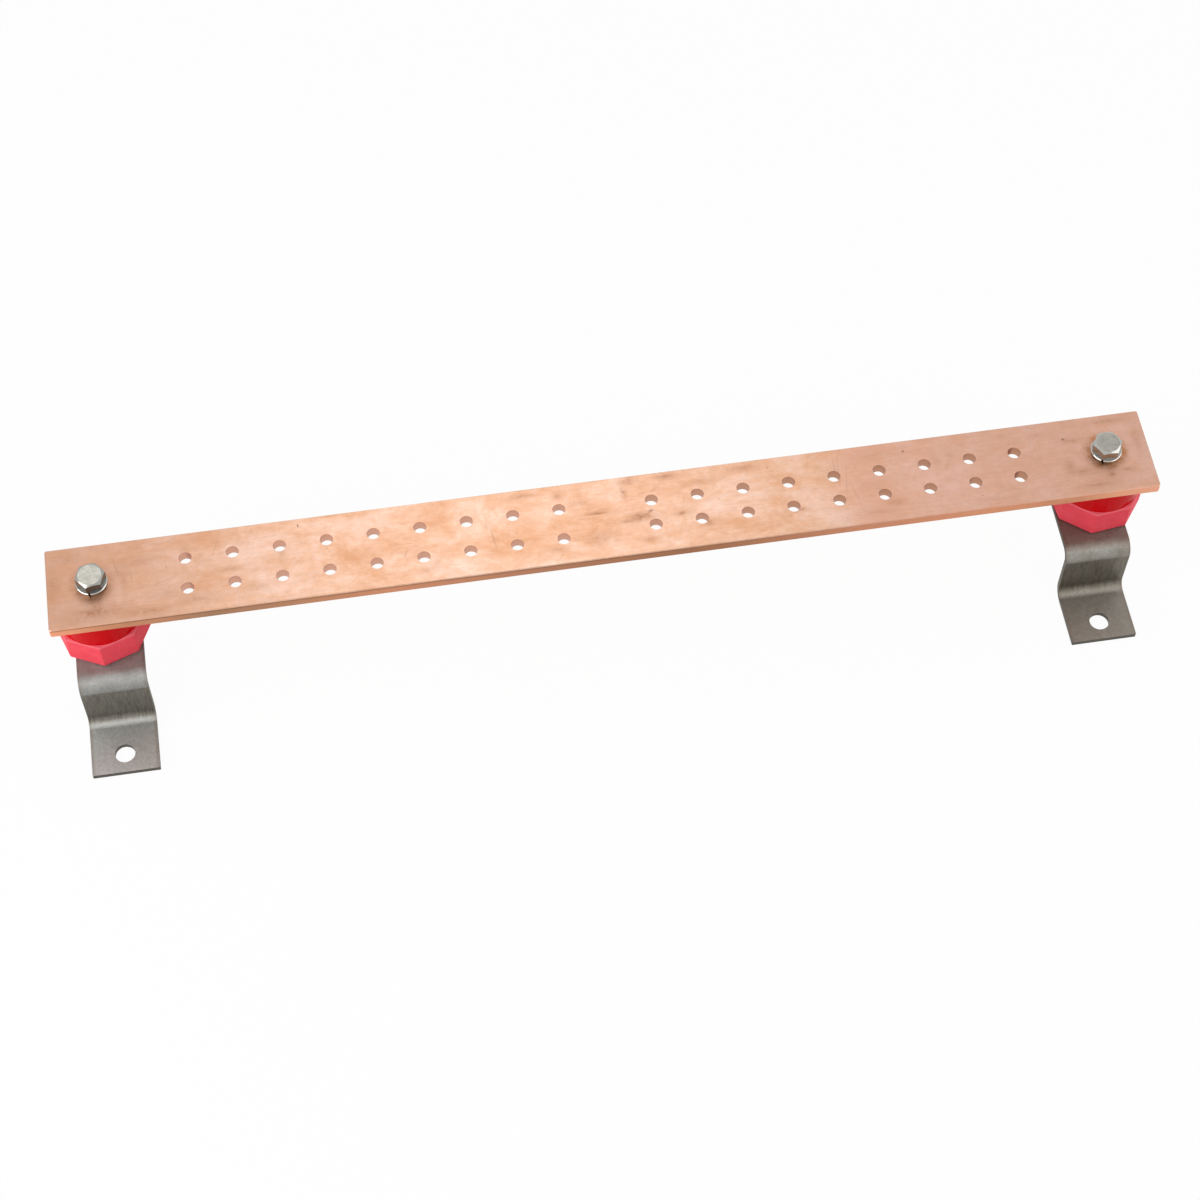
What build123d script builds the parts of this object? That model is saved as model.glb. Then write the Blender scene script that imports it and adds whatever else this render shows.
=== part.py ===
from build123d import *
import os

# Rack grounding busbar: a drilled copper bar on two standoff insulators, each bolted to a folded
# steel foot that fastens to the rack. Lengths are in millimetres, angles in degrees.
# X runs along the bar, Y runs from the feet back towards the bar, Z points away from the rack.
# The origin lies midway between the two foot holes, on the underside of the feet.

# Copper bar, 2 by 1/4 inches, with its edges broken; it runs on past the standoffs at both ends
bar_width = 50.8
bar_thickness = 6.35
bar_overhang = 24.25
bar_corner_radius = 1.2
bar_edge_chamfer = 0.45

# Lug holes in pairs across the bar, one group each side of a blank middle
lug_hole_diameter = 7.14
lug_pitch = 25.4
lug_pairs_in_group = 9
lug_middle_gap = 50.8
left_lug_spacing = 19.05
right_lug_spacing = 15.875

# Each standoff lies beyond the last pair of lug holes and a little behind the bar's centre line
lug_to_standoff = 50.35
bar_to_standoff = 1.2
bar_bolt_clearance = 0.45

# Insulator: an octagonal collar below and a round, slightly tapered neck above
insulator_height = 38.1
collar_height = 19.05
collar_across_flats = 48.3
collar_corner_radius = 1.4
collar_foot_chamfer = 1.2
collar_rim_chamfer = 0.4
collar_ledge = 0.2
neck_taper = 0.4
neck_top_chamfer = 1.2
left_insulator_turn = 266.9
right_insulator_turn = 254.5

# Moulded-in insert: hexagonal bar with a narrower waist that locks it in place, and a blind bore
insert_across_flats = 15.9
insert_floor = 1.7
insert_waist_start = 5.5
insert_waist_length = 3.2
insert_waist_depth = 1.2
insert_bore_clearance = 0.1
insert_bore_spare = 0.5

# Hex bolts, 3/8 by 3/4 inch
bolt_shank_diameter = 9.4
bolt_length = 19.05
bolt_tip_chamfer = 1.0
bolt_across_flats = 14.29
bolt_head_height = 6.2
bolt_top_step = 0.8
bolt_chamfer_angle = 30.0

# Split lock washers and the flat washers that bridge the bracket slots
washer_bore_clearance = 0.3
lock_washer_diameter = 17.2
lock_washer_thickness = 2.4
lock_washer_chamfer = 0.35
lock_washer_gap = 1.1
lock_washer_gap_slant = 18.0
flat_washer_diameter = 20.6
flat_washer_thickness = 1.65

# Folded bracket: flange under the insulator, upright web and foot
bracket_width = 37.0
bracket_thickness = 3.0
bracket_rise = 37.6
bracket_bend_radius = 5.5
bracket_corner_radius = 0.5
foot_hole_diameter = 11.11
foot_toe = 11.5
foot_heel = 22.6
foot_to_standoff = 60.1
flange_tail = 20.0
flange_slot_clearance = 0.85
flange_slot_spare = 0.5

# How far each bracket is slid inwards along its slot
left_bracket_slide = 1.65
right_bracket_slide = 5.15

# Turn of each bolt head and direction of each washer's split, seen from outside the head
bolt_turns = {"left_upper": 10.0, "right_upper": 0.0, "left_lower": 21.0, "right_lower": 48.0}
split_turns = {"left_upper": 262.0, "right_upper": 242.0, "left_lower": 35.0, "right_lower": 150.0}

# Sizes and places worked out from those above
standoff_spacing = lug_middle_gap + 2 * (lug_pairs_in_group - 1) * lug_pitch + 2 * lug_to_standoff
bar_length = standoff_spacing + 2 * bar_overhang
bar_bolt_hole = bolt_shank_diameter + 2 * bar_bolt_clearance
flange_top = bracket_thickness + bracket_rise
flange_underside = flange_top - bracket_thickness
insulator_top = flange_top + insulator_height
bar_top = insulator_top + bar_thickness
bar_center_x = (right_bracket_slide - left_bracket_slide) / 2
lug_group_center = lug_middle_gap / 2 + (lug_pairs_in_group - 1) * lug_pitch / 2
neck_radius = collar_across_flats / 2 - collar_ledge
neck_top_radius = neck_radius - neck_taper
washer_bore = bolt_shank_diameter + 2 * washer_bore_clearance
flange_slot_width = bolt_shank_diameter + 2 * flange_slot_clearance
flange_slot_travel = max(left_bracket_slide, right_bracket_slide) + flange_slot_spare
flange_slot_length = flange_slot_width + 2 * flange_slot_travel
upper_bolt_reach = bolt_length - lock_washer_thickness - bar_thickness
lower_bolt_reach = bolt_length - lock_washer_thickness - flat_washer_thickness - bracket_thickness
insert_bore = bolt_shank_diameter + 2 * insert_bore_clearance
insert_bore_depth = max(upper_bolt_reach, lower_bolt_reach) + insert_bore_spare
insert_length = insert_bore_depth + insert_floor
insert_waist_across_flats = insert_across_flats - 2 * insert_waist_depth

os.makedirs("parts", exist_ok=True)


def insert_blank(mouth):
    """Outer form of an insert below its mouth plane, as the moulding grips it."""
    with BuildPart() as blank:
        with BuildSketch(mouth):
            RegularPolygon(insert_across_flats / 2, 6, major_radius=False)
        extrude(amount=-insert_length)
        with BuildSketch(mouth.offset(-insert_waist_start)):
            RegularPolygon(insert_across_flats / 2, 6, major_radius=False)
            RegularPolygon(insert_waist_across_flats / 2, 6, major_radius=False, mode=Mode.SUBTRACT)
        extrude(amount=-insert_waist_length, mode=Mode.SUBTRACT)
    return blank.part


# Copper bar
with BuildPart() as busbar:
    with BuildSketch(Plane((bar_center_x, foot_to_standoff - bar_to_standoff, insulator_top))):
        RectangleRounded(bar_length, bar_width, bar_corner_radius)
        for sign, spacing in ((-1, left_lug_spacing), (1, right_lug_spacing)):
            with Locations((sign * lug_group_center, 0)):
                with GridLocations(lug_pitch, spacing, lug_pairs_in_group, 2):
                    Circle(lug_hole_diameter / 2, mode=Mode.SUBTRACT)
        with Locations((-standoff_spacing / 2, bar_to_standoff), (standoff_spacing / 2, bar_to_standoff)):
            Circle(bar_bolt_hole / 2, mode=Mode.SUBTRACT)
    extrude(amount=bar_thickness)
    bar_faces = busbar.faces().filter_by(Axis.Z)
    chamfer([edge for face in bar_faces for edge in face.outer_wire().edges()], bar_edge_chamfer)
busbar.part.label = "busbar"
export_step(busbar.part, "parts/busbar.step")

sides = (
    ("left", -1, left_bracket_slide, left_insulator_turn),
    ("right", 1, right_bracket_slide, right_insulator_turn),
)
for side, sign, slide, insulator_turn in sides:
    standoff_x = bar_center_x + sign * standoff_spacing / 2
    bracket_x = standoff_x - sign * slide
    base = Plane((standoff_x, foot_to_standoff, flange_top))
    insert_mouths = {
        "upper": base.offset(insulator_height),
        "lower": Plane(base.origin, z_dir=(0, 0, -1)),
    }
    insert_blanks = {end: insert_blank(mouth) for end, mouth in insert_mouths.items()}

    # Insulator, moulded round its two inserts
    with BuildPart() as insulator:
        with BuildSketch(base.rotated((0, 0, insulator_turn))):
            RegularPolygon(collar_across_flats / 2, 8, major_radius=False)
        extrude(amount=collar_height)
        fillet(insulator.edges().filter_by(Axis.Z), collar_corner_radius)
        chamfer(insulator.faces().sort_by(Axis.Z)[0].edges(), collar_foot_chamfer)
        chamfer(insulator.faces().sort_by(Axis.Z)[-1].edges(), collar_rim_chamfer)
        with BuildSketch(Plane(base.origin, x_dir=(1, 0, 0), z_dir=(0, -1, 0))):
            with BuildLine():
                Polyline(
                    (0, collar_height - collar_rim_chamfer),
                    (neck_radius, collar_height - collar_rim_chamfer),
                    (neck_top_radius, insulator_height - neck_top_chamfer),
                    (neck_top_radius - neck_top_chamfer, insulator_height),
                    (0, insulator_height),
                    close=True,
                )
            make_face()
        revolve(axis=Axis(base.origin, base.z_dir))
        add(insert_blanks.values(), mode=Mode.SUBTRACT)
    insulator.part.label = f"{side}_insulator"
    export_step(insulator.part, f"parts/{side}_insulator.step")

    # Threaded inserts, shown with plain bores
    for end, mouth in insert_mouths.items():
        with BuildPart() as insert:
            add(insert_blanks[end])
            with BuildSketch(mouth):
                Circle(insert_bore / 2)
            extrude(amount=-insert_bore_depth, mode=Mode.SUBTRACT)
        insert.part.label = f"{side}_{end}_insert"
        export_step(insert.part, f"parts/{side}_{end}_insert.step")

    # Bracket, folded from one strip
    with BuildPart() as bracket:
        with BuildSketch(Plane.YZ.offset(bracket_x)):
            with BuildLine():
                FilletPolyline(
                    (-foot_toe, bracket_thickness / 2),
                    (foot_heel + bracket_thickness / 2, bracket_thickness / 2),
                    (foot_heel + bracket_thickness / 2, flange_top - bracket_thickness / 2),
                    (foot_to_standoff + flange_tail, flange_top - bracket_thickness / 2),
                    radius=bracket_bend_radius + bracket_thickness / 2,
                )
            trace(line_width=bracket_thickness)
        extrude(amount=bracket_width / 2, both=True)
        corner_edges = bracket.edges().filter_by(Axis.Z).group_by(Axis.Y)
        fillet(corner_edges[0] + corner_edges[-1], bracket_corner_radius)
        with BuildSketch(Plane((bracket_x, 0, 0))):
            Circle(foot_hole_diameter / 2)
        extrude(amount=bracket_thickness, mode=Mode.SUBTRACT)
        with BuildSketch(Plane((bracket_x, foot_to_standoff, flange_underside))):
            SlotOverall(flange_slot_length, flange_slot_width)
        extrude(amount=bracket_thickness, mode=Mode.SUBTRACT)
    bracket.part.label = f"{side}_bracket"
    export_step(bracket.part, f"parts/{side}_bracket.step")

    # Flat washer across the bracket slot
    slot_seat = Plane((standoff_x, foot_to_standoff, flange_underside), z_dir=(0, 0, -1))
    with BuildPart() as flat_washer:
        with BuildSketch(slot_seat):
            Circle(flat_washer_diameter / 2)
            Circle(washer_bore / 2, mode=Mode.SUBTRACT)
        extrude(amount=flat_washer_thickness)
    flat_washer.part.label = f"{side}_flat_washer"
    export_step(flat_washer.part, f"parts/{side}_flat_washer.step")

    # Upper bolt through the bar and lower bolt through the bracket, each on a split lock washer
    fixings = (
        ("upper", Plane((standoff_x, foot_to_standoff, bar_top))),
        ("lower", slot_seat.offset(flat_washer_thickness)),
    )
    for end, washer_seat in fixings:
        place = f"{side}_{end}"
        split = washer_seat.rotated((0, 0, split_turns[place]))
        with BuildPart() as lock_washer:
            with BuildSketch(washer_seat):
                Circle(lock_washer_diameter / 2)
                Circle(washer_bore / 2, mode=Mode.SUBTRACT)
            extrude(amount=lock_washer_thickness)
            outer_face = lock_washer.faces().sort_by(Axis(washer_seat.origin, washer_seat.z_dir))[-1]
            chamfer(outer_face.outer_wire().edges(), lock_washer_chamfer)
            with BuildSketch(Plane(split.origin, x_dir=split.y_dir, z_dir=split.x_dir)):
                with Locations((0, lock_washer_thickness / 2)):
                    Rectangle(lock_washer_gap, lock_washer_diameter, rotation=lock_washer_gap_slant)
            extrude(amount=lock_washer_diameter, mode=Mode.SUBTRACT)
        lock_washer.part.label = f"{place}_lock_washer"
        export_step(lock_washer.part, f"parts/{place}_lock_washer.step")

        head_seat = washer_seat.offset(lock_washer_thickness)
        with BuildPart() as bolt:
            with BuildSketch(head_seat.rotated((0, 0, bolt_turns[place]))):
                RegularPolygon(bolt_across_flats / 2, 6, major_radius=False)
            extrude(amount=bolt_head_height)
            # A wide cone cuts the top corners off the head
            with BuildSketch(head_seat.offset(bolt_head_height)):
                Circle(bolt_across_flats / 2 - bolt_top_step)
            extrude(amount=-bolt_head_height, taper=bolt_chamfer_angle - 90, mode=Mode.INTERSECT)
            with BuildSketch(head_seat):
                Circle(bolt_shank_diameter / 2)
            extrude(amount=-bolt_length)
            tip = bolt.faces().sort_by(Axis(head_seat.origin, head_seat.z_dir))[0]
            chamfer(tip.edges(), bolt_tip_chamfer)
        bolt.part.label = f"{place}_bolt"
        export_step(bolt.part, f"parts/{place}_bolt.step")
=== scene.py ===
from math import radians

import bpy
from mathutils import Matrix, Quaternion, Vector


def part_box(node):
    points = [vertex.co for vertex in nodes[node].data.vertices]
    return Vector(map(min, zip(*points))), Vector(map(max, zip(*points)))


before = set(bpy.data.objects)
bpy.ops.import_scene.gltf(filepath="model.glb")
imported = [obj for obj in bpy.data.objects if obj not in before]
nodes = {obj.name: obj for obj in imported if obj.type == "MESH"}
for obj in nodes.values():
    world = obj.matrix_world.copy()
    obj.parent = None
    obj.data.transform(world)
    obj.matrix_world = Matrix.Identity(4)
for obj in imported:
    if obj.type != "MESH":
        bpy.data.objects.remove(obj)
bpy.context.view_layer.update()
scene = bpy.context.scene
scene.view_settings.view_transform = "Standard"

mm = 0.001


def linear(hex_colour):
    """An sRGB hex colour as linear red, green, blue and alpha."""
    parts = [int(hex_colour[i:i + 2], 16) / 255 for i in (1, 3, 5)]
    return (*[p / 12.92 if p <= 0.04045 else ((p + 0.055) / 1.055) ** 2.4 for p in parts], 1.0)


def pattern_scale(x, y, z):
    """The mapping scale that gives a noise pattern these sizes, in mm, along the three axes."""
    return tuple(1 / (size * mm) for size in (x, y, z))


def add(tree, kind, inputs=None, **settings):
    """Adds one node with its settings, and its inputs as values or links."""
    made = tree.nodes.new(kind)
    for name, value in settings.items():
        setattr(made, name, value)
    for name, value in (inputs or {}).items():
        if isinstance(value, bpy.types.NodeSocket):
            tree.links.new(value, made.inputs[name])
        else:
            made.inputs[name].default_value = value
    return made


def start_material(name, **uniform):
    """A new node material, with the values that are the same all over set on its shader."""
    material = bpy.data.materials.new(name)
    material.use_nodes = True
    tree = material.node_tree
    tree.nodes.clear()
    values = {key.replace("_", " "): value for key, value in uniform.items()}
    shader = add(tree, "ShaderNodeBsdfPrincipled", values)
    add(tree, "ShaderNodeOutputMaterial", {"Surface": shader.outputs[0]})
    place = add(tree, "ShaderNodeTexCoord").outputs["Object"]
    return material, tree, shader, place


# Places on the object, in metres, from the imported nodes
bar_low, bar_high = (Vector(corner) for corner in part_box("busbar"))
bar_middle = (bar_low + bar_high) / 2
insulator_low, insulator_high = (Vector(corner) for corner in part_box("left_insulator"))
collar_rim = (insulator_low.z + insulator_high.z) / 2

# Smudges on the bar's face, and one painted shadow, in mm from the bar's middle: place, half length, half
# width and strength.
# Hand marks run along the middle, and dirt lies between the first pairs of holes and round the right bolt.
# The first row, just in front of the left bolt, is a painted shadow of the bolt, not a smudge.
stains_and_bolt_shadow = (
    (-279, -18, 34, 9, 0.75), (-250, -21, 26, 6, 0.65), (-262, 2, 5, 16, 0.40), (-240, -11, 18, 8, 0.35),
    (-300, 2, 7, 26, 0.45), (-290, 18, 14, 7, 0.35), (-253, 11, 20, 9, 0.35), (-228, 15, 5, 7, 0.35),
    (-206, -1, 14, 3, 0.50), (-265, 7, 3, 8, 0.35), (-224, -17, 22, 8, 0.40), (-278, -13, 6, 7, 0.80),
    (-177, 5, 6, 14, 0.30), (-190, -14, 16, 6, 0.30), (-100, -18, 14, 4, 0.30), (-95, -14, 6, 6, 0.25),
    (-44, 21, 16, 4, 0.50), (-25, 18, 7, 5, 0.45), (-6, 4, 14, 2, 0.55), (14, 22, 10, 5, 0.65),
    (35, 22, 12, 4, 0.75), (11, 15, 4, 7, 0.50), (20, -1.5, 15, 5, 0.95), (40, -3, 8, 3, 0.75),
    (12, -4, 13, 3, 0.55), (21, -17, 9, 4, 0.45), (-6, -12, 15, 8, 0.45), (-29, -16, 13, 4, 0.35),
    (54, -11, 7, 5, 0.65), (54, 16, 18, 5, 0.35), (78, 21, 20, 5, 0.45), (-14, 12, 10, 4, 0.40),
    (153, 18, 32, 9, 0.25), (147, 0, 20, 8, 0.15), (157, -14, 11, 5, 0.65), (147, -19, 26, 5, 0.35),
    (106, -11, 9, 3, 0.50), (185, 9, 6, 5, 0.40), (193, 12, 8, 4, 0.35), (262, 11, 12, 4, 0.80),
    (257, -5, 6, 8, 0.70), (263, -10, 14, 6, 0.60), (285, 21, 22, 4, 0.55), (288, -12, 8, 3, 0.80),
    (298, 6, 6, 20, 0.50), (224, 20, 5, 3, 0.35), (279, -14, 7, 6, 0.75), (270, -20, 22, 5, 0.55),
    (243, 18, 12, 4, 0.35), (210, -20, 18, 4, 0.25),
)
# Small dark spots and fine scratches: place, half length, half width, angle in degrees and strength
scratches = (
    (-166.8, 20.8, 0.6, 1.5, 0, 1.0), (168, 18.3, 0.9, 0.9, 0, 1.0), (257.4, 12.6, 1.2, 1.0, 0, 0.9),
    (24, 1.2, 2.2, 1.2, 20, 0.6), (-239, 5, 0.5, 0.7, 0, 0.6), (92, 19, 0.6, 0.6, 0, 0.6),
    (-120, 12, 0.6, 0.5, 0, 0.5), (205, -17, 0.7, 0.5, 0, 0.6), (-58, 22, 0.5, 0.5, 0, 0.6),
    (129, -20, 0.6, 0.6, 0, 0.5), (-192, -16, 0.5, 0.4, 0, 0.5), (62, 3, 0.6, 0.5, 0, 0.5),
    (-63, -4, 10, 0.7, 97, 0.33), (-66, 5, 6, 0.5, 84, 0.21), (-111, -6, 3.5, 0.8, 65, 0.33),
    (130, 10, 14, 0.6, 84, 0.24), (133, 3, 17, 0.5, 80, 0.21), (128.5, 14, 9, 0.6, 90, 0.24),
    (137, -8, 13, 0.5, 100, 0.18), (-6, 3.5, 9, 0.7, 2, 0.33), (-13, 1.4, 5, 0.6, -3, 0.24),
    (-3, 5.6, 6, 0.6, 5, 0.24), (11, 15, 5, 0.6, 115, 0.27), (27, 14, 3, 0.8, 30, 0.33),
    (-240, -3, 12, 0.5, 20, 0.18), (-212, 14, 8, 0.5, 70, 0.18), (60, -19, 10, 0.5, 150, 0.18),
    (190, 5, 7, 0.5, 60, 0.15), (-85, -17, 8, 0.5, 170, 0.21), (-140, -18, 5, 0.5, 40, 0.18),
    (-266, 9, 7, 0.5, 100, 0.24), (-258, 3, 8, 0.5, 95, 0.18), (215, -17, 9, 0.5, 15, 0.15),
    (104, -11, 5, 0.7, 20, 0.30), (98, -14, 4, 0.6, 12, 0.24), (-28, -20, 4, 0.6, 60, 0.21),
    (43, 6, 6, 0.5, 75, 0.18), (-100, 17, 9, 0.5, 8, 0.18), (-152, 3, 6, 0.5, 120, 0.18),
)
# Painted contact shade, in brown rings round the two bolts: bolt node and strength
bolt_shade_rings = (("left_upper_bolt", 0.50), ("right_upper_bolt", 0.80))


def oval_marks(tree, place, rows, depth, gradient):
    """Adds up soft oval marks on the bar's face, each of which fades out from its middle."""
    total = 0.0
    for x, y, length, width, angle, strength in rows:
        spread = add(tree, "ShaderNodeMapping", {
            "Vector": place, "Location": (bar_middle.x + x * mm, bar_middle.y + y * mm, bar_high.z),
            "Rotation": (0, 0, radians(angle)), "Scale": (length * mm, width * mm, depth)},
            vector_type="TEXTURE")
        fade = add(tree, "ShaderNodeTexGradient", {"Vector": spread.outputs[0]}, gradient_type=gradient)
        total = add(tree, "ShaderNodeMath", {0: fade.outputs["Fac"], 1: strength, 2: total},
                    operation="MULTIPLY_ADD").outputs[0]
    return total


def copper_tarnish(tree, cloud, along):
    """Colour of the bar's face before it was soiled: the darker the tarnish, the more orange."""
    tint = add(tree, "ShaderNodeValToRGB", {"Fac": cloud})
    stops = tint.color_ramp.elements
    stops[0].position, stops[0].color = 0.36, linear("#C59472")
    stops[1].position, stops[1].color = 0.64, linear("#D2B19F")
    stops.new(0.50).color = linear("#CCA288")

    # The right-hand end has tarnished a little pinker than the rest, and the left-hand end browner
    colour = tint.outputs["Color"]
    for start, end, most, tone in ((115, 145, 0.50, "#C69888"), (-160, -280, 0.45, "#BE8E77")):
        aged = add(tree, "ShaderNodeMapRange", {
            "Value": along, "From Min": start * mm, "From Max": end * mm, "To Max": most},
            interpolation_type="SMOOTHSTEP")
        colour = add(tree, "ShaderNodeMix", {
            "Factor": aged.outputs[0], "A": colour, "B": linear(tone)}, data_type="RGBA").outputs["Result"]
    return colour


def copper_sides(tree, spot):
    """Colour of the bar's cut faces: sheared sides, more orange than the face and partly painted reflection
    and shade, and cleaner, pinker drilled walls."""
    # The sides' tones along the bar are partly their own orange and partly painted: darker along most of the
    # bar as painted shade, and brighter towards both ends as a painted reflection of the lit floor
    lengthwise = add(tree, "ShaderNodeMapRange", {
        "Value": spot.outputs["X"], "From Min": bar_low.x, "From Max": bar_high.x})
    side_tone_and_reflection = add(tree, "ShaderNodeValToRGB", {"Fac": lengthwise.outputs[0]})
    stops = side_tone_and_reflection.color_ramp.elements
    stops[0].color, stops[1].color = linear("#F4A57D"), linear("#E6A583")
    for position, tone in ((0.14, "#A67B5C"), (0.30, "#D28F6B"), (0.44, "#B67D5E"), (0.57, "#A16D4C"),
                           (0.74, "#C98867"), (0.88, "#D8946F")):
        stops.new(position).color = linear(tone)

    # Painted shade: a dark line under the upper edge fades out to the right
    rising = add(tree, "ShaderNodeMapRange", {
        "Value": spot.outputs["Z"], "From Min": bar_low.z, "From Max": bar_high.z})
    upper = add(tree, "ShaderNodeMapRange", {
        "Value": rising.outputs[0], "From Min": 0.62, "From Max": 0.90}, interpolation_type="SMOOTHSTEP")
    leftward = add(tree, "ShaderNodeMapRange", {
        "Value": spot.outputs["X"], "From Min": 0.0, "From Max": 130 * mm, "To Min": 0.6, "To Max": 0.0})
    line = add(tree, "ShaderNodeMath", {0: upper.outputs[0], 1: leftward.outputs[0]}, operation="MULTIPLY")
    sheared = add(tree, "ShaderNodeMix", {
        "Factor": line.outputs[0], "A": side_tone_and_reflection.outputs["Color"], "B": linear("#7D553A")}, data_type="RGBA")

    # Drilled walls are all that lies further in than this from the bar's sides and ends
    margin = 1.5 * mm
    reach = bar_high - bar_middle
    across = add(tree, "ShaderNodeMath", {
        0: spot.outputs["Y"], 1: bar_middle.y, 2: reach.y - margin}, operation="COMPARE")
    along = add(tree, "ShaderNodeMath", {
        0: spot.outputs["X"], 1: bar_middle.x, 2: reach.x - margin}, operation="COMPARE")
    inside = add(tree, "ShaderNodeMath", {0: across.outputs[0], 1: along.outputs[0]}, operation="MULTIPLY")
    rightward = add(tree, "ShaderNodeMapRange", {
        "Value": spot.outputs["X"], "From Min": -30 * mm, "From Max": 120 * mm})
    drilled = add(tree, "ShaderNodeMix", {
        "Factor": rightward.outputs[0], "A": linear("#D7A38A"), "B": linear("#BC8A6E")}, data_type="RGBA")
    return add(tree, "ShaderNodeMix", {
        "Factor": inside.outputs[0], "A": sheared.outputs["Result"], "B": drilled.outputs["Result"]},
        data_type="RGBA").outputs["Result"]


def copper():
    """Cold-finished copper bar, touched bare-handed: fine lengthwise rolling grain under an even salmon
    tarnish, with smudges from hands, a painted shadow in front of the left bolt, painted contact shade in
    rings round the bolts, small dark spots, fine scratches, and sides of their own colour with painted
    reflection on them."""
    material, tree, shader, place = start_material("rolled_copper", Metallic=1.0)
    spot = add(tree, "ShaderNodeSeparateXYZ", {"Vector": place})

    # Rolling grain, really about 0.1 mm wide, drawn 0.6 mm wide and 25 mm long so that it shows
    grain_place = add(tree, "ShaderNodeMapping", {"Vector": place, "Scale": pattern_scale(25, 0.6, 0.6)})
    grain = add(tree, "ShaderNodeTexNoise", {
        "Vector": grain_place.outputs[0], "Scale": 1.0, "Detail": 4.0, "Roughness": 0.7})

    # Tarnish clouds of about 30 mm, and mottling of about 4 mm
    cloud_place = add(tree, "ShaderNodeMapping", {"Vector": place, "Scale": pattern_scale(35, 24, 24)})
    cloud = add(tree, "ShaderNodeTexNoise", {
        "Vector": cloud_place.outputs[0], "Scale": 1.0, "Detail": 8.0, "Roughness": 0.78, "Distortion": 0.3})
    mottle_place = add(tree, "ShaderNodeMapping", {"Vector": place, "Scale": pattern_scale(4.5, 3.5, 3.5)})
    mottle = add(tree, "ShaderNodeTexNoise", {
        "Vector": mottle_place.outputs[0], "Scale": 1.0, "Detail": 5.0, "Roughness": 0.75, "Distortion": 0.4})
    tarnished = copper_tarnish(tree, cloud.outputs["Fac"], spot.outputs["X"])

    # Smudges, and the painted shadow in front of the left bolt, broken up by the mottling
    unturned = [(*row[:4], 0, row[4]) for row in stains_and_bolt_shadow]
    smudged_and_shadowed = oval_marks(tree, place, unturned, 5 * mm, "QUADRATIC_SPHERE")
    patchy = add(tree, "ShaderNodeMapRange", {
        "Value": mottle.outputs["Fac"], "From Min": 0.36, "From Max": 0.64, "To Min": 0.2, "To Max": 1.7})
    soil_and_shadow = add(tree, "ShaderNodeMath", {0: smudged_and_shadowed, 1: patchy.outputs[0]},
               operation="MULTIPLY", use_clamp=True)
    colour = add(tree, "ShaderNodeMix", {
        "Factor": soil_and_shadow.outputs[0], "A": tarnished, "B": linear("#A7795D")}, data_type="RGBA")

    # Painted contact shade in rings round the bolts, from the washer's rim out to about 15 mm
    for node_name, strength in bolt_shade_rings:
        low, high = (Vector(corner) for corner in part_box(node_name))
        ring_place = add(tree, "ShaderNodeMapping", {
            "Vector": place, "Location": ((low.x + high.x) / 2, (low.y + high.y) / 2, bar_high.z),
            "Scale": (16 * mm, 16 * mm, 5 * mm)}, vector_type="TEXTURE")
        ring = add(tree, "ShaderNodeTexGradient", {"Vector": ring_place.outputs[0]},
                   gradient_type="SPHERICAL")
        ring_shade = add(tree, "ShaderNodeMapRange", {
            "Value": ring.outputs["Fac"], "From Min": 0.08, "From Max": 0.45, "To Max": strength},
            interpolation_type="SMOOTHSTEP")
        blotchy = add(tree, "ShaderNodeMath", {0: ring_shade.outputs[0], 1: patchy.outputs[0]},
                      operation="MULTIPLY", use_clamp=True)
        colour = add(tree, "ShaderNodeMix", {
            "Factor": blotchy.outputs[0], "A": colour.outputs["Result"], "B": linear("#A87350")},
            data_type="RGBA")

    # Dark spots and scratches
    marked = oval_marks(tree, place, scratches, 2 * mm, "SPHERICAL")
    colour = add(tree, "ShaderNodeMix", {
        "Factor": marked, "A": colour.outputs["Result"], "B": linear("#5E4438")}, data_type="RGBA")

    # Sides and hole walls, where the surface stands upright
    normal = add(tree, "ShaderNodeNewGeometry").outputs["Normal"]
    facing = add(tree, "ShaderNodeSeparateXYZ", {"Vector": normal})
    flat = add(tree, "ShaderNodeMath", {0: facing.outputs["Z"]}, operation="ABSOLUTE")
    cut = add(tree, "ShaderNodeMapRange", {
        "Value": flat.outputs[0], "From Min": 0.4, "From Max": 0.6, "To Min": 1.0, "To Max": 0.0})
    colour = add(tree, "ShaderNodeMix", {
        "Factor": cut.outputs[0], "A": colour.outputs["Result"], "B": copper_sides(tree, spot)},
        data_type="RGBA")

    # Grain and mottling lighten and darken it all a little
    streaks = add(tree, "ShaderNodeMapRange", {
        "Value": grain.outputs["Fac"], "From Min": 0.3, "From Max": 0.7, "To Min": 0.94, "To Max": 1.05})
    shades = add(tree, "ShaderNodeMapRange", {
        "Value": mottle.outputs["Fac"], "From Min": 0.3, "From Max": 0.7, "To Min": 0.94, "To Max": 1.06})
    pattern = add(tree, "ShaderNodeMath", {0: streaks.outputs[0], 1: shades.outputs[0]}, operation="MULTIPLY")
    colour = add(tree, "ShaderNodeMix", {
        "Factor": 1.0, "A": colour.outputs["Result"], "B": pattern.outputs[0]},
        data_type="RGBA", blend_type="MULTIPLY")
    tree.links.new(colour.outputs["Result"], shader.inputs["Base Color"])

    # Tarnish and dirt are duller than the bare metal
    dull = add(tree, "ShaderNodeMapRange", {
        "Value": cloud.outputs["Fac"], "From Min": 0.3, "From Max": 0.7, "To Min": 0.43, "To Max": 0.37})
    gloss = add(tree, "ShaderNodeMath", {0: soil_and_shadow.outputs[0], 1: 0.1, 2: dull.outputs[0]},
                operation="MULTIPLY_ADD")
    tree.links.new(gloss.outputs[0], shader.inputs["Roughness"])
    relief = add(tree, "ShaderNodeBump", {
        "Strength": 0.25, "Distance": 0.04 * mm, "Height": grain.outputs["Fac"]})
    tree.links.new(relief.outputs[0], shader.inputs["Normal"])
    return material


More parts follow.
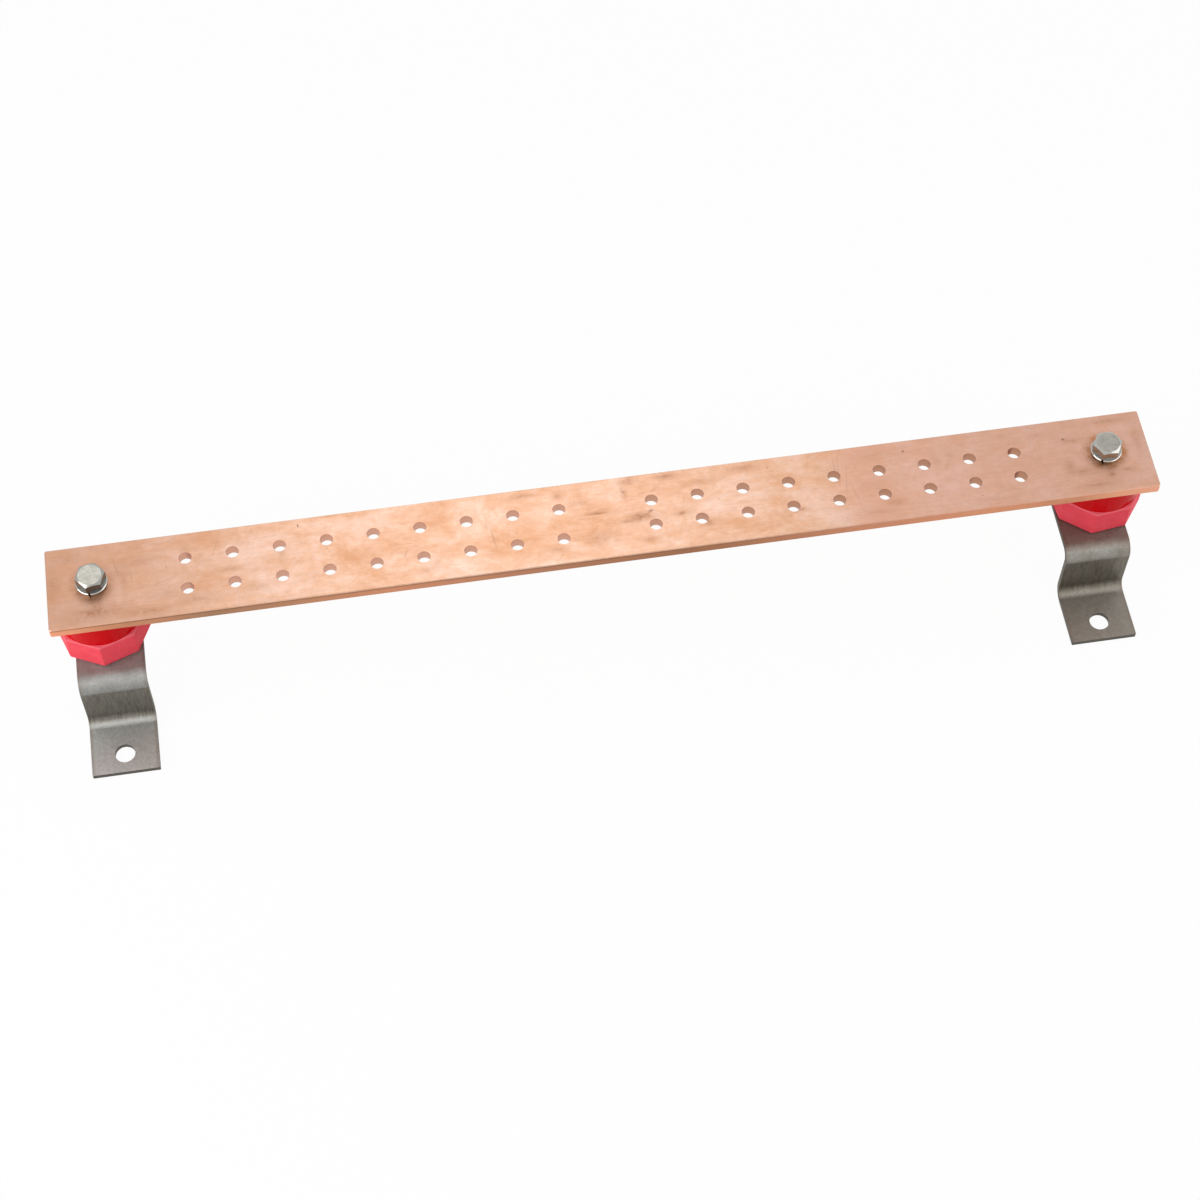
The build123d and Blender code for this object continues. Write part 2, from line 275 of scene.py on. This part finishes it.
def insulator_red():
    """Compression-moulded glass-filled polyester: a matt, pinkish-red collar, dulled by the fibres at its
    surface, and a smoother neck of the same resin in a deeper red. The collar's paler pink is partly painted
    light and sheen, and the neck's deeper red is painted shade under the bar."""
    material, tree, shader, place = start_material(
        "moulded_polyester", IOR=1.54, Specular_IOR_Level=0.02, Coat_Roughness=0.04)
    spot = add(tree, "ShaderNodeSeparateXYZ", {"Vector": place})
    neck = add(tree, "ShaderNodeMapRange", {
        "Value": spot.outputs["Z"], "From Min": collar_rim + 0.1 * mm, "From Max": collar_rim + 0.3 * mm})

    # Cloudy resin, about 6 mm, and pale fibre flecks, really hair-fine, drawn about 0.6 mm so that they show
    resin_place = add(tree, "ShaderNodeMapping", {"Vector": place, "Scale": pattern_scale(6, 6, 6)})
    resin = add(tree, "ShaderNodeTexNoise", {
        "Vector": resin_place.outputs[0], "Scale": 1.0, "Detail": 4.0, "Roughness": 0.6})
    fleck_place = add(tree, "ShaderNodeMapping", {"Vector": place, "Scale": pattern_scale(0.6, 0.6, 0.9)})
    fleck = add(tree, "ShaderNodeTexNoise", {
        "Vector": fleck_place.outputs[0], "Scale": 1.0, "Detail": 2.0, "Roughness": 0.5})
    cloudy = add(tree, "ShaderNodeMix", {
        "Factor": resin.outputs["Fac"], "A": linear("#D93B48"), "B": linear("#EE5966")}, data_type="RGBA")
    pale = add(tree, "ShaderNodeMapRange", {
        "Value": fleck.outputs["Fac"], "From Min": 0.58, "From Max": 0.8, "To Max": 0.35})
    flecked = add(tree, "ShaderNodeMix", {
        "Factor": pale.outputs[0], "A": cloudy.outputs["Result"], "B": linear("#F08A90")}, data_type="RGBA")

    # The top millimetre of the collar, where the mould closed, is painted paler: partly rubbed, and partly a
    # painted highlight along the top edge
    topmost = add(tree, "ShaderNodeMapRange", {
        "Value": spot.outputs["Z"], "From Min": collar_rim - 1.2 * mm, "From Max": collar_rim - 0.2 * mm,
        "To Max": 0.5})
    rubbed_and_painted_shading = add(tree, "ShaderNodeMix", {
        "Factor": topmost.outputs[0], "A": flecked.outputs["Result"], "B": linear("#F58793")},
        data_type="RGBA")
    # Lit and shaded copies of one resin: the collar's pink is partly painted light, the neck's deep red is
    # painted shade under the bar
    red = add(tree, "ShaderNodeMix", {
        "Factor": neck.outputs[0], "A": rubbed_and_painted_shading.outputs["Result"], "B": linear("#C4060F")}, data_type="RGBA")
    tree.links.new(red.outputs["Result"], shader.inputs["Base Color"])

    # The neck alone has a faint skin of clear resin
    skin = add(tree, "ShaderNodeMapRange", {"Value": neck.outputs[0], "To Max": 0.06})
    tree.links.new(skin.outputs[0], shader.inputs["Coat Weight"])
    gloss = add(tree, "ShaderNodeMapRange", {"Value": neck.outputs[0], "To Min": 0.5, "To Max": 0.2})
    tree.links.new(gloss.outputs[0], shader.inputs["Roughness"])
    relief = add(tree, "ShaderNodeBump", {
        "Strength": 0.4, "Distance": 0.1 * mm, "Height": fleck.outputs["Fac"]})
    tree.links.new(relief.outputs[0], shader.inputs["Normal"])
    return material


def bracket_steel(name, node_name, pale, dirty, foot_tint, flange_shade):
    """Cold-rolled stainless sheet, folded on a brake: a dull even grey with a fine pebbled skin, with drag
    marks down the web where the sheet slid over the die and painted shade that darkens the web besides, with
    dark cut edges, brownish handling dirt and, where asked for, painted shade on the flange under the collar."""
    material, tree, shader, place = start_material(name, Metallic=1.0)
    spot = add(tree, "ShaderNodeSeparateXYZ", {"Vector": place})
    low_corner, high_corner = (Vector(corner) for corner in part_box(node_name))
    centre = (low_corner.x + high_corner.x) / 2
    half_width = (high_corner.x - low_corner.x) / 2
    foot_top = low_corner.z + 3 * mm
    flange_top = high_corner.z

    # Skin of the sheet, really under 0.1 mm, drawn about 1.2 mm so that it shows, and dirt in patches of
    # about 9 mm
    skin_place = add(tree, "ShaderNodeMapping", {"Vector": place, "Scale": pattern_scale(1.2, 1.2, 1.2)})
    skin = add(tree, "ShaderNodeTexNoise", {
        "Vector": skin_place.outputs[0], "Scale": 1.0, "Detail": 3.0, "Roughness": 0.7})
    dirt_place = add(tree, "ShaderNodeMapping", {"Vector": place, "Scale": pattern_scale(9, 9, 9)})
    dirt = add(tree, "ShaderNodeTexNoise", {
        "Vector": dirt_place.outputs[0], "Scale": 1.0, "Detail": 5.0, "Roughness": 0.65})
    patches = add(tree, "ShaderNodeMapRange", {
        "Value": dirt.outputs["Fac"], "From Min": 0.35, "From Max": 0.65})
    grimy = add(tree, "ShaderNodeMix", {
        "Factor": patches.outputs[0], "A": linear(pale), "B": linear(dirty)}, data_type="RGBA")

    # The foot has a tone of its own
    low = add(tree, "ShaderNodeMapRange", {
        "Value": spot.outputs["Z"], "From Min": foot_top + 0.3 * mm, "From Max": foot_top + 2 * mm,
        "To Min": 0.8, "To Max": 0.0})
    colour = add(tree, "ShaderNodeMix", {
        "Factor": low.outputs[0], "A": grimy.outputs["Result"], "B": linear(foot_tint)}, data_type="RGBA")

    # Handling has left a brown line along the side edges, about 2 mm wide
    sideways = add(tree, "ShaderNodeMath", {0: spot.outputs["X"], 1: -centre}, operation="ADD")
    aside = add(tree, "ShaderNodeMath", {0: sideways.outputs[0]}, operation="ABSOLUTE")
    edgeward = add(tree, "ShaderNodeMapRange", {
        "Value": aside.outputs[0], "From Min": half_width - 2.2 * mm, "From Max": half_width - 1 * mm,
        "To Max": 0.35})
    colour = add(tree, "ShaderNodeMix", {
        "Factor": edgeward.outputs[0], "A": colour.outputs["Result"], "B": linear("#7D6E63")},
        data_type="RGBA")

    # Painted shade darkens the flange under the collar, by the share that the last argument gives
    flange = add(tree, "ShaderNodeMapRange", {
        "Value": spot.outputs["Z"], "From Min": flange_top - 2.1 * mm, "From Max": flange_top - 0.1 * mm})
    shaded_flange = add(tree, "ShaderNodeMath", {0: flange.outputs[0], 1: flange_shade}, operation="MULTIPLY")
    colour = add(tree, "ShaderNodeMix", {
        "Factor": shaded_flange.outputs[0], "A": colour.outputs["Result"], "B": linear("#6B4A40")},
        data_type="RGBA")

    # Cut edges and the walls of the foot's hole are dark
    normal = add(tree, "ShaderNodeNewGeometry").outputs["Normal"]
    facing = add(tree, "ShaderNodeSeparateXYZ", {"Vector": normal})
    endwise = add(tree, "ShaderNodeMath", {0: facing.outputs["X"]}, operation="ABSOLUTE")
    level = add(tree, "ShaderNodeMath", {0: facing.outputs["Z"]}, operation="ABSOLUTE")
    upright = add(tree, "ShaderNodeMath", {0: level.outputs[0], 1: 0.2}, operation="LESS_THAN")
    in_foot = add(tree, "ShaderNodeMath", {0: spot.outputs["Z"], 1: foot_top + 0.2 * mm},
                  operation="LESS_THAN")
    rim = add(tree, "ShaderNodeMath", {0: upright.outputs[0], 1: in_foot.outputs[0]}, operation="MULTIPLY")
    cut = add(tree, "ShaderNodeMath", {0: rim.outputs[0], 1: endwise.outputs[0]}, operation="MAXIMUM")
    colour = add(tree, "ShaderNodeMix", {
        "Factor": cut.outputs[0], "A": colour.outputs["Result"], "B": linear("#57524B")}, data_type="RGBA")

    # Drag marks run up the web, about 1.5 mm wide and 12 mm long, from a sharp start under the upper bend
    drag_place = add(tree, "ShaderNodeMapping", {"Vector": place, "Scale": pattern_scale(1.5, 12, 12)})
    drag = add(tree, "ShaderNodeTexNoise", {
        "Vector": drag_place.outputs[0], "Scale": 1.0, "Detail": 4.0, "Roughness": 0.7})
    scored_and_shaded = add(tree, "ShaderNodeMapRange", {
        "Value": drag.outputs["Fac"], "From Min": 0.36, "From Max": 0.54, "To Min": 0.46, "To Max": 0.70})
    started = add(tree, "ShaderNodeMapRange", {
        "Value": spot.outputs["Z"], "From Min": flange_top - 9.1 * mm, "From Max": flange_top - 7.6 * mm,
        "To Min": 1.0, "To Max": 0.0})
    ended = add(tree, "ShaderNodeMapRange", {
        "Value": spot.outputs["Z"], "From Min": foot_top + 0.1 * mm, "From Max": foot_top + 2 * mm})
    rubbed_and_painted_shading = add(tree, "ShaderNodeMath", {0: started.outputs[0], 1: ended.outputs[0]}, operation="MULTIPLY")
    stained = add(tree, "ShaderNodeMath", {0: rubbed_and_painted_shading.outputs[0], 1: 0.45}, operation="MULTIPLY")
    colour = add(tree, "ShaderNodeMix", {
        "Factor": stained.outputs[0], "A": colour.outputs["Result"], "B": linear("#988F7C")},
        data_type="RGBA")

    # Drag marks and skin lighten and darken it all, and the web is painted darker besides, to about 0.46 to
    # 0.70 of its colour, as painted shade
    drag_marks_and_shade = add(tree, "ShaderNodeMix", {"Factor": rubbed_and_painted_shading.outputs[0], "A": 1.0, "B": scored_and_shaded.outputs[0]},
                  data_type="FLOAT")
    speckle = add(tree, "ShaderNodeMapRange", {
        "Value": skin.outputs["Fac"], "From Min": 0.3, "From Max": 0.7, "To Min": 0.85, "To Max": 1.15})
    pattern = add(tree, "ShaderNodeMath", {0: drag_marks_and_shade.outputs[0], 1: speckle.outputs[0]},
                  operation="MULTIPLY")
    colour = add(tree, "ShaderNodeMix", {
        "Factor": 1.0, "A": colour.outputs["Result"], "B": pattern.outputs[0]},
        data_type="RGBA", blend_type="MULTIPLY")
    tree.links.new(colour.outputs["Result"], shader.inputs["Base Color"])

    # The flange is duller than the rest
    bright = add(tree, "ShaderNodeMapRange", {
        "Value": skin.outputs["Fac"], "From Min": 0.3, "From Max": 0.7, "To Min": 0.42, "To Max": 0.52})
    gloss = add(tree, "ShaderNodeMath", {0: flange.outputs[0], 1: 0.16, 2: bright.outputs[0]},
                operation="MULTIPLY_ADD")
    tree.links.new(gloss.outputs[0], shader.inputs["Roughness"])
    relief = add(tree, "ShaderNodeBump", {
        "Strength": 0.2, "Distance": 0.05 * mm, "Height": skin.outputs["Fac"]})
    tree.links.new(relief.outputs[0], shader.inputs["Normal"])
    return material


def plated_steel(name, pale, dark, chamfer_shading, side):
    """Zinc-plated steel, cold-headed: plating dulled to a faintly mottled matt grey on top, smoother on the
    sloping chamfers, which flash where they catch a lamp. The upright faces have a painted shade tone, and
    the chamfers a tone that is painted shade where darker than the top and a painted highlight where paler."""
    material, tree, shader, place = start_material(name, Metallic=1.0)

    # Dull patches of about 2.5 mm
    patch_place = add(tree, "ShaderNodeMapping", {"Vector": place, "Scale": pattern_scale(2.5, 2.5, 2.5)})
    patch = add(tree, "ShaderNodeTexNoise", {
        "Vector": patch_place.outputs[0], "Scale": 1.0, "Detail": 3.0, "Roughness": 0.55})
    shade = add(tree, "ShaderNodeValToRGB", {"Fac": patch.outputs["Fac"]})
    stops = shade.color_ramp.elements
    stops[0].position, stops[0].color = 0.35, linear(dark)
    stops[1].position, stops[1].color = 0.65, linear(pale)

    # How steep the surface is sets its tone: painted shade on the upright faces, and on the chamfers painted
    # shade where darker than the top and a painted highlight where paler
    normal = add(tree, "ShaderNodeNewGeometry").outputs["Normal"]
    facing = add(tree, "ShaderNodeSeparateXYZ", {"Vector": normal})
    level = add(tree, "ShaderNodeMath", {0: facing.outputs["Z"]}, operation="ABSOLUTE")
    sloping = add(tree, "ShaderNodeMapRange", {
        "Value": level.outputs[0], "From Min": 0.95, "From Max": 0.99, "To Min": 1.0, "To Max": 0.0})
    chamfered = add(tree, "ShaderNodeMix", {
        "Factor": sloping.outputs[0], "A": shade.outputs["Color"], "B": linear(chamfer_shading)}, data_type="RGBA")
    upright = add(tree, "ShaderNodeMapRange", {
        "Value": level.outputs[0], "From Min": 0.3, "From Max": 0.5, "To Min": 1.0, "To Max": 0.0})
    colour = add(tree, "ShaderNodeMix", {
        "Factor": upright.outputs[0], "A": chamfered.outputs["Result"], "B": linear(side)}, data_type="RGBA")
    tree.links.new(colour.outputs["Result"], shader.inputs["Base Color"])
    matt = add(tree, "ShaderNodeMapRange", {
        "Value": patch.outputs["Fac"], "From Min": 0.3, "From Max": 0.7, "To Min": 0.42, "To Max": 0.34})
    gloss = add(tree, "ShaderNodeMix", {"Factor": sloping.outputs[0], "A": matt.outputs[0], "B": 0.20},
                data_type="FLOAT")
    tree.links.new(gloss.outputs[0], shader.inputs["Roughness"])
    return material


def turned_brass():
    """Turned free-cutting brass, left bright: fine rings from the tool, really 0.1 mm apart, drawn 0.4 mm
    apart."""
    material, tree, shader, place = start_material("turned_brass", Metallic=1.0)
    ring_place = add(tree, "ShaderNodeMapping", {"Vector": place, "Scale": pattern_scale(4, 4, 0.4)})
    rings = add(tree, "ShaderNodeTexNoise", {"Vector": ring_place.outputs[0], "Scale": 1.0, "Detail": 2.0})
    tone = add(tree, "ShaderNodeMix", {
        "Factor": rings.outputs["Fac"], "A": linear("#B8924E"), "B": linear("#D6B671")}, data_type="RGBA")
    tree.links.new(tone.outputs["Result"], shader.inputs["Base Color"])
    gloss = add(tree, "ShaderNodeMapRange", {"Value": rings.outputs["Fac"], "To Min": 0.35, "To Max": 0.22})
    tree.links.new(gloss.outputs[0], shader.inputs["Roughness"])
    return material


# Each node takes the first finish whose key ends its name
finishes = {
    "busbar": copper(),
    "insulator": insulator_red(),
    "left_bracket": bracket_steel(
        "folded_stainless_left", "left_bracket", "#9A9A97", "#8C8B87", "#B3B3AF", flange_shade=0.0),
    "right_bracket": bracket_steel(
        "folded_stainless_right", "right_bracket", "#96948D", "#857F76", "#88837A", flange_shade=0.4),
    "right_upper_bolt": plated_steel("dulled_zinc_bolt", "#A8A59D", "#918E87", "#B0AFAA", "#9FA2A1"),
    "bolt": plated_steel("zinc_plated_bolt", "#C4C1B7", "#ABA89F", "#A09F9A", "#70757A"),
    "washer": plated_steel("zinc_plated_washer", "#B4B1A9", "#97948D", "#C0BFBA", "#8F8B84"),
    "insert": turned_brass(),
}
for node_name, piece in nodes.items():
    match = [key for key in finishes if node_name.endswith(key)]
    piece.data.materials.clear()
    piece.data.materials.append(finishes[match[0]])


def seen_white(tree):
    """1 for a ray from the camera, in a reflection or through glass, which sees white, and 0 for the rest."""
    path = add(tree, "ShaderNodeLightPath")
    seen = path.outputs["Is Camera Ray"]
    for ray in ("Is Glossy Ray", "Is Transmission Ray"):
        seen = add(tree, "ShaderNodeMath", {0: seen, 1: path.outputs[ray]}, operation="MAXIMUM").outputs[0]
    return seen


# Floor: a pale sheet just under the feet, almost white where it is seen, that keeps a faint shadow
floor_side = 12.0
floor_drop = 0.5 * mm
white_share = 0.96
bpy.ops.object.select_all(action="DESELECT")
bpy.ops.mesh.primitive_plane_add(size=floor_side, location=(0, 0, -floor_drop))
floor = bpy.context.object
floor.name = "floor"
bpy.ops.object.transform_apply(location=True, rotation=True, scale=True)
floor_finish = bpy.data.materials.new("pale_floor")
floor_finish.use_nodes = True
tree = floor_finish.node_tree
tree.nodes.clear()
share = add(tree, "ShaderNodeMath", {0: seen_white(tree), 1: white_share}, operation="MULTIPLY")
matt = add(tree, "ShaderNodeBsdfDiffuse", {"Color": linear("#EDEDEB")})
white = add(tree, "ShaderNodeEmission", {"Color": (1, 1, 1, 1), "Strength": 1.0})
both = add(tree, "ShaderNodeMixShader", {0: share.outputs[0], 1: matt.outputs[0], 2: white.outputs[0]})
add(tree, "ShaderNodeOutputMaterial", {"Surface": both.outputs[0]})
floor.data.materials.append(floor_finish)

# World: an even pale surround, white where it is seen
surround_light = 0.45
world = bpy.data.worlds.new("studio")
scene.world = world
world.use_nodes = True
tree = world.node_tree
tree.nodes.clear()
level = add(tree, "ShaderNodeMapRange", {"Value": seen_white(tree), "To Min": surround_light, "To Max": 1.0})
surround = add(tree, "ShaderNodeBackground", {"Color": (1, 1, 1, 1), "Strength": level.outputs[0]})
add(tree, "ShaderNodeOutputWorld", {"Surface": surround.outputs[0]})

# Softboxes: one high behind the bar, which the bar's middle reflects, and one beyond each end. Each has its
# place, the side of its square and its power in watts.
softboxes = (
    ("softbox_behind", (0.02, 0.86, 1.30), 0.5, 1.8),
    ("softbox_left", (-0.95, -0.35, 0.55), 1.1, 10.0),
    ("softbox_right", (0.95, -0.25, 0.55), 1.1, 4.5),
)
for name, stand, side, watts in softboxes:
    data = bpy.data.lights.new(name, "AREA")
    data.shape, data.size, data.energy = "SQUARE", side, watts
    lamp = bpy.data.objects.new(name, data)
    lamp.location = stand
    lamp.rotation_mode = "QUATERNION"
    lamp.rotation_quaternion = (bar_middle - Vector(stand)).to_track_quat("-Z", "Y")
    scene.collection.objects.link(lamp)

# Camera, solved from the places of the lug holes in the photograph
view = bpy.data.cameras.new("camera")
view.sensor_width, view.lens = 36.0, 77.711
camera = bpy.data.objects.new("camera", view)
camera.location = (-0.128863, -0.699766, 1.263833)
camera.rotation_mode = "QUATERNION"
camera.rotation_quaternion = Quaternion((0.9599293, 0.2689892, -0.0236377, -0.0749787))
scene.collection.objects.link(camera)
scene.camera = camera
